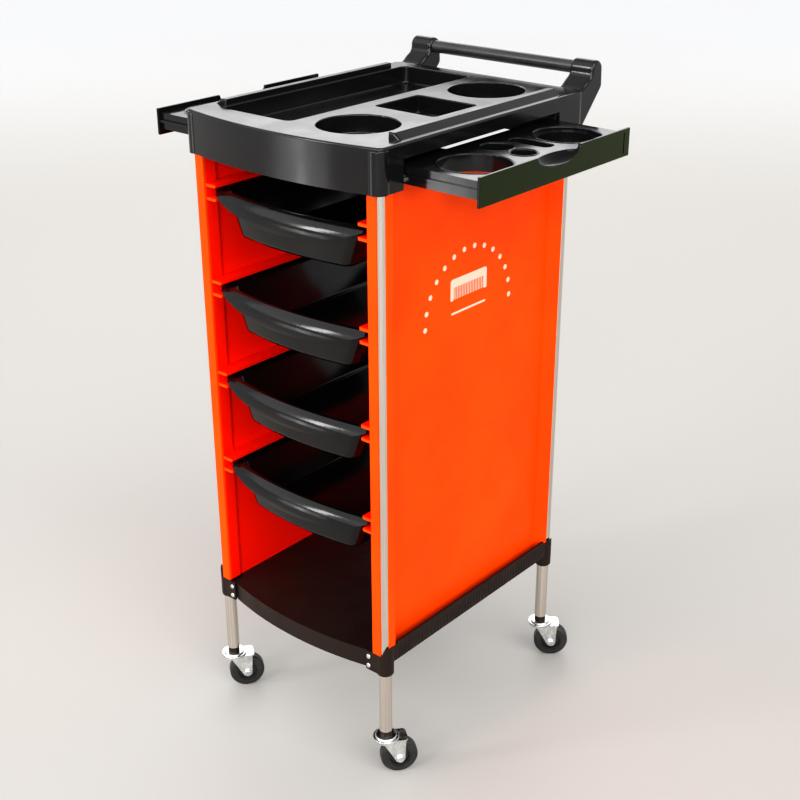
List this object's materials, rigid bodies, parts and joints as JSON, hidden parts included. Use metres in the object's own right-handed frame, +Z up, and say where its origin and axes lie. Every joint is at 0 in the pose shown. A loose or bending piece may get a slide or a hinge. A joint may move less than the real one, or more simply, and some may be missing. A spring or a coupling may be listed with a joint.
{
  "type": "salon trolley",
  "caption": "Rolling salon trolley: tray top with wells, push handle, sliding front and side drawers, side panels on tube posts, base shelf and swivel casters.",
  "frame": {"origin": "on the floor, under the middle of the whole footprint with both side drawers pulled out", "axes": "+Z up, -Y the front with the drawer pulls, +Y the push handle, +X the right-hand side seen from the front"},
  "size_m": [0.52, 0.4583, 0.877],
  "materials": {
    "gloss_black_abs": "moulded gloss black",
    "dark_gloss_fascia": "gloss very dark olive",
    "black_drawer_plastic": "satin moulded black",
    "black_handle_paint": "satin black",
    "orange_plastic": "semi-gloss moulded orange",
    "matte_black_plastic": "fine texture",
    "brushed_steel_tube": "satin",
    "zinc_plate": "zinc plated",
    "wheel_hub_nylon": "moulded",
    "wheel_rubber": "matt"
  },
  "bodies": {
    "frame": {"top_tray": "gloss_black_abs", "handle_tube": "black_handle_paint", "side_panel_left": "orange_plastic", "side_panel_right": "orange_plastic", "base_shelf": "matte_black_plastic", "socket_screws": "zinc_plate", "drawer_runner_front_left": "matte_black_plastic", "drawer_runner_front_right": "matte_black_plastic", "drawer_runner_rear_left": "matte_black_plastic", "drawer_runner_rear_right": "matte_black_plastic", "corner_socket_front_left": "matte_black_plastic", "corner_socket_front_right": "matte_black_plastic", "corner_socket_rear_left": "matte_black_plastic", "corner_socket_rear_right": "matte_black_plastic", "post_front_left": "brushed_steel_tube", "post_front_right": "brushed_steel_tube", "post_rear_left": "brushed_steel_tube", "post_rear_right": "brushed_steel_tube", "post_sleeve_front_left": "matte_black_plastic", "post_sleeve_front_right": "matte_black_plastic", "post_sleeve_rear_left": "matte_black_plastic", "post_sleeve_rear_right": "matte_black_plastic", "caster_stem_front_left": "zinc_plate", "caster_stem_front_right": "zinc_plate", "caster_stem_rear_left": "zinc_plate", "caster_stem_rear_right": "zinc_plate"},
    "front_drawer_1": {"front_drawer_1": "black_drawer_plastic"},
    "front_drawer_2": {"front_drawer_2": "black_drawer_plastic"},
    "front_drawer_3": {"front_drawer_3": "black_drawer_plastic"},
    "front_drawer_4": {"front_drawer_4": "black_drawer_plastic"},
    "side_drawer_left": {"side_drawer_left": "gloss_black_abs", "side_drawer_fascia_left": "dark_gloss_fascia"},
    "side_drawer_right": {"side_drawer_right": "gloss_black_abs", "side_drawer_fascia_right": "dark_gloss_fascia"},
    "swivel_front_left": {"caster_fork_front_left": "zinc_plate", "caster_axle_front_left": "zinc_plate"},
    "wheel_front_left": {"wheel_hub_front_left": "wheel_hub_nylon", "wheel_tyre_front_left": "wheel_rubber"},
    "swivel_front_right": {"caster_fork_front_right": "zinc_plate", "caster_axle_front_right": "zinc_plate"},
    "wheel_front_right": {"wheel_hub_front_right": "wheel_hub_nylon", "wheel_tyre_front_right": "wheel_rubber"},
    "swivel_rear_left": {"caster_fork_rear_left": "zinc_plate", "caster_axle_rear_left": "zinc_plate"},
    "wheel_rear_left": {"wheel_hub_rear_left": "wheel_hub_nylon", "wheel_tyre_rear_left": "wheel_rubber"},
    "swivel_rear_right": {"caster_fork_rear_right": "zinc_plate", "caster_axle_rear_right": "zinc_plate"},
    "wheel_rear_right": {"wheel_hub_rear_right": "wheel_hub_nylon", "wheel_tyre_rear_right": "wheel_rubber"}
  },
  "joints": [
    {"name": "front_drawer_1_slide", "type": "slide", "parent": "frame", "child": "front_drawer_1", "axis": [0, -1, 0], "range_m": [0, 0.24]},
    {"name": "front_drawer_2_slide", "type": "slide", "parent": "frame", "child": "front_drawer_2", "axis": [0, -1, 0], "range_m": [0, 0.24]},
    {"name": "front_drawer_3_slide", "type": "slide", "parent": "frame", "child": "front_drawer_3", "axis": [0, -1, 0], "range_m": [0, 0.24]},
    {"name": "front_drawer_4_slide", "type": "slide", "parent": "frame", "child": "front_drawer_4", "axis": [0, -1, 0], "range_m": [0, 0.24]},
    {"name": "side_drawer_left_slide", "type": "slide", "parent": "frame", "child": "side_drawer_left", "axis": [-1, 0, 0], "range_m": [-0.103, 0]},
    {"name": "side_drawer_right_slide", "type": "slide", "parent": "frame", "child": "side_drawer_right", "axis": [1, 0, 0], "range_m": [-0.103, 0]},
    {"name": "swivel_front_left_turn", "type": "hinge", "parent": "frame", "child": "swivel_front_left", "pos_m": [-0.146, -0.19925, 0.053], "axis": [0, 0, 1], "continuous": true},
    {"name": "wheel_front_left_roll", "type": "hinge", "parent": "swivel_front_left", "child": "wheel_front_left", "pos_m": [-0.13577, -0.18567, 0.025], "axis": [-0.7986, 0.6018, 0], "continuous": true},
    {"name": "swivel_front_right_turn", "type": "hinge", "parent": "frame", "child": "swivel_front_right", "pos_m": [0.146, -0.19925, 0.053], "axis": [0, 0, 1], "continuous": true},
    {"name": "wheel_front_right_roll", "type": "hinge", "parent": "swivel_front_right", "child": "wheel_front_right", "pos_m": [0.15647, -0.18585, 0.025], "axis": [-0.788, 0.6157, 0], "continuous": true},
    {"name": "swivel_rear_left_turn", "type": "hinge", "parent": "frame", "child": "swivel_rear_left", "pos_m": [-0.146, 0.15275, 0.053], "axis": [0, 0, 1], "continuous": true},
    {"name": "wheel_rear_left_roll", "type": "hinge", "parent": "swivel_rear_left", "child": "wheel_rear_left", "pos_m": [-0.13398, 0.16477, 0.025], "axis": [-0.7071, 0.7071, 0], "continuous": true},
    {"name": "swivel_rear_right_turn", "type": "hinge", "parent": "frame", "child": "swivel_rear_right", "pos_m": [0.146, 0.15275, 0.053], "axis": [0, 0, 1], "continuous": true},
    {"name": "wheel_rear_right_roll", "type": "hinge", "parent": "swivel_rear_right", "child": "wheel_rear_right", "pos_m": [0.1594, 0.16322, 0.025], "axis": [-0.6157, 0.788, 0], "continuous": true}
  ]
}
